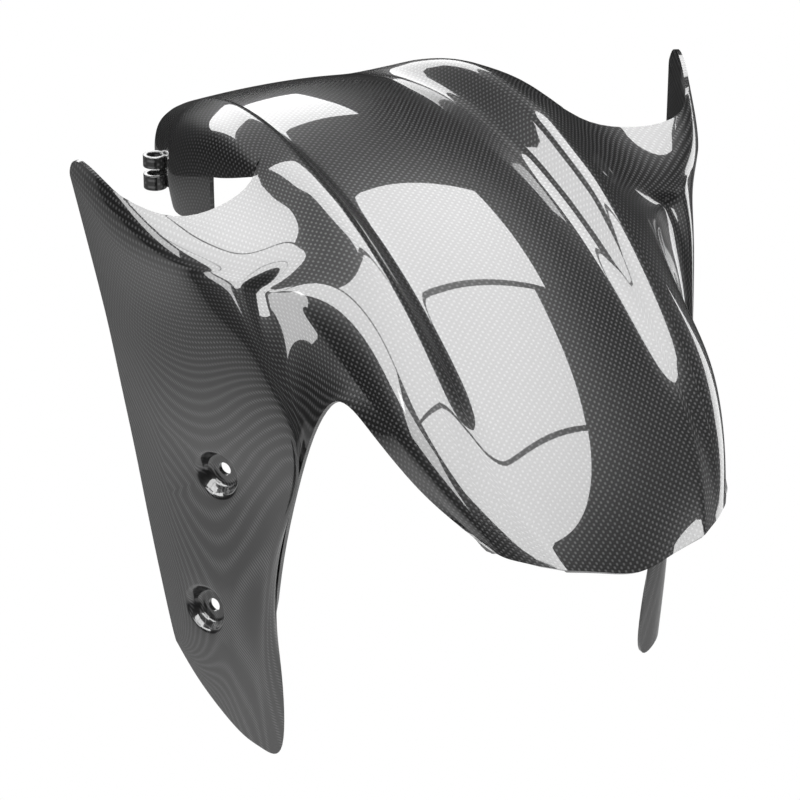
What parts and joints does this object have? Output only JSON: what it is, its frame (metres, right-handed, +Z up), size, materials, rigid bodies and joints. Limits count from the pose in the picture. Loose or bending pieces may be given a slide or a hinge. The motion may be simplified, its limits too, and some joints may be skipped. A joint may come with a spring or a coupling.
{
  "type": "motorcycle front fender",
  "caption": "Front fender of a motor scooter in woven carbon fibre, with a pointed nose, raised shoulders and two fork covers with bolt recesses.",
  "frame": {"origin": "centre of the box round the moulding, on the plane of symmetry", "axes": "+X to the right as seen from the front, +Y to the rear of the vehicle, so the nose faces -Y, +Z up along the fork tubes"},
  "size_m": [0.3186, 0.3828, 0.2788],
  "materials": {
    "carbon_weave": "clear coated plain-weave carbon fibre, gloss"
  },
  "bodies": {
    "root": {"fender": "carbon_weave"}
  },
  "joints": []
}
